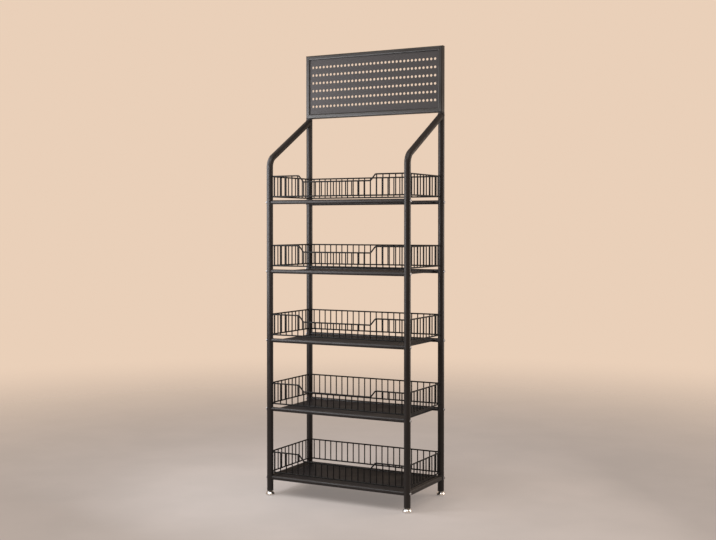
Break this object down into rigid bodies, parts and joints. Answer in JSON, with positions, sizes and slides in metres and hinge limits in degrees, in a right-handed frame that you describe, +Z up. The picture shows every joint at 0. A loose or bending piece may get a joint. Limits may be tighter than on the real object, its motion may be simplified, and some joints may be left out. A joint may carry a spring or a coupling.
{
  "type": "snack display rack",
  "caption": "Free-standing black steel display rack: open shelves with wire guards between bent tube side frames, a perforated peg header on top and levelling feet.",
  "frame": {"origin": "on the floor, under the middle of the rack", "axes": "+X along the shelves to the right of a person who faces the rack, +Y to the back, +Z up"},
  "size_m": [0.6324, 0.3424, 1.758],
  "materials": {
    "black_powder_coat": "satin black powder coat on steel",
    "chrome": "bright chrome plate",
    "satin_nickel": "satin nickel plate",
    "zinc_steel": "zinc plated steel",
    "plug_plastic": "black moulded plastic",
    "pad_plastic": "white plastic"
  },
  "bodies": {
    "frame": {"header_bottom_bar": "black_powder_coat", "header_left_bar": "black_powder_coat", "header_peg_panel": "black_powder_coat", "header_right_bar": "black_powder_coat", "header_spigots": "black_powder_coat", "header_top_bar": "black_powder_coat", "left_cross_bar": "black_powder_coat", "left_front_post": "black_powder_coat", "left_rear_post": "black_powder_coat", "post_end_plugs": "plug_plastic", "rail_end_nuts": "zinc_steel", "right_cross_bar": "black_powder_coat", "right_front_post": "black_powder_coat", "right_rear_post": "black_powder_coat", "shelf_1_back_guard": "black_powder_coat", "shelf_1_deck": "black_powder_coat", "shelf_1_front_guard": "black_powder_coat", "shelf_1_front_rail": "black_powder_coat", "shelf_1_rear_rail": "black_powder_coat", "shelf_1_side_guards": "black_powder_coat", "shelf_2_back_guard": "black_powder_coat", "shelf_2_deck": "black_powder_coat", "shelf_2_front_guard": "black_powder_coat", "shelf_2_front_rail": "black_powder_coat", "shelf_2_rear_rail": "black_powder_coat", "shelf_2_side_guards": "black_powder_coat", "shelf_3_back_guard": "black_powder_coat", "shelf_3_deck": "black_powder_coat", "shelf_3_front_guard": "black_powder_coat", "shelf_3_front_rail": "black_powder_coat", "shelf_3_rear_rail": "black_powder_coat", "shelf_3_side_guards": "black_powder_coat", "shelf_4_back_guard": "black_powder_coat", "shelf_4_deck": "black_powder_coat", "shelf_4_front_guard": "black_powder_coat", "shelf_4_front_rail": "black_powder_coat", "shelf_4_rear_rail": "black_powder_coat", "shelf_4_side_guards": "black_powder_coat", "shelf_5_back_guard": "black_powder_coat", "shelf_5_deck": "black_powder_coat", "shelf_5_front_guard": "black_powder_coat", "shelf_5_front_rail": "black_powder_coat", "shelf_5_rear_rail": "black_powder_coat", "shelf_5_side_guards": "black_powder_coat", "shelf_bolts": "satin_nickel"},
    "front_left_foot": {"front_left_foot_cup": "chrome", "front_left_foot_pad": "pad_plastic", "front_left_foot_stud": "zinc_steel"},
    "front_right_foot": {"front_right_foot_cup": "chrome", "front_right_foot_pad": "pad_plastic", "front_right_foot_stud": "zinc_steel"},
    "rear_left_foot": {"rear_left_foot_cup": "chrome", "rear_left_foot_pad": "pad_plastic", "rear_left_foot_stud": "zinc_steel"},
    "rear_right_foot": {"rear_right_foot_cup": "chrome", "rear_right_foot_pad": "pad_plastic", "rear_right_foot_stud": "zinc_steel"}
  },
  "joints": [
    {"name": "front_left_foot_screw", "type": "slide", "parent": "frame", "child": "front_left_foot", "axis": [0, 0, -1], "range_m": [0, 0.01]},
    {"name": "front_right_foot_screw", "type": "slide", "parent": "frame", "child": "front_right_foot", "axis": [0, 0, -1], "range_m": [0, 0.01]},
    {"name": "rear_left_foot_screw", "type": "slide", "parent": "frame", "child": "rear_left_foot", "axis": [0, 0, -1], "range_m": [0, 0.01]},
    {"name": "rear_right_foot_screw", "type": "slide", "parent": "frame", "child": "rear_right_foot", "axis": [0, 0, -1], "range_m": [0, 0.01]}
  ]
}
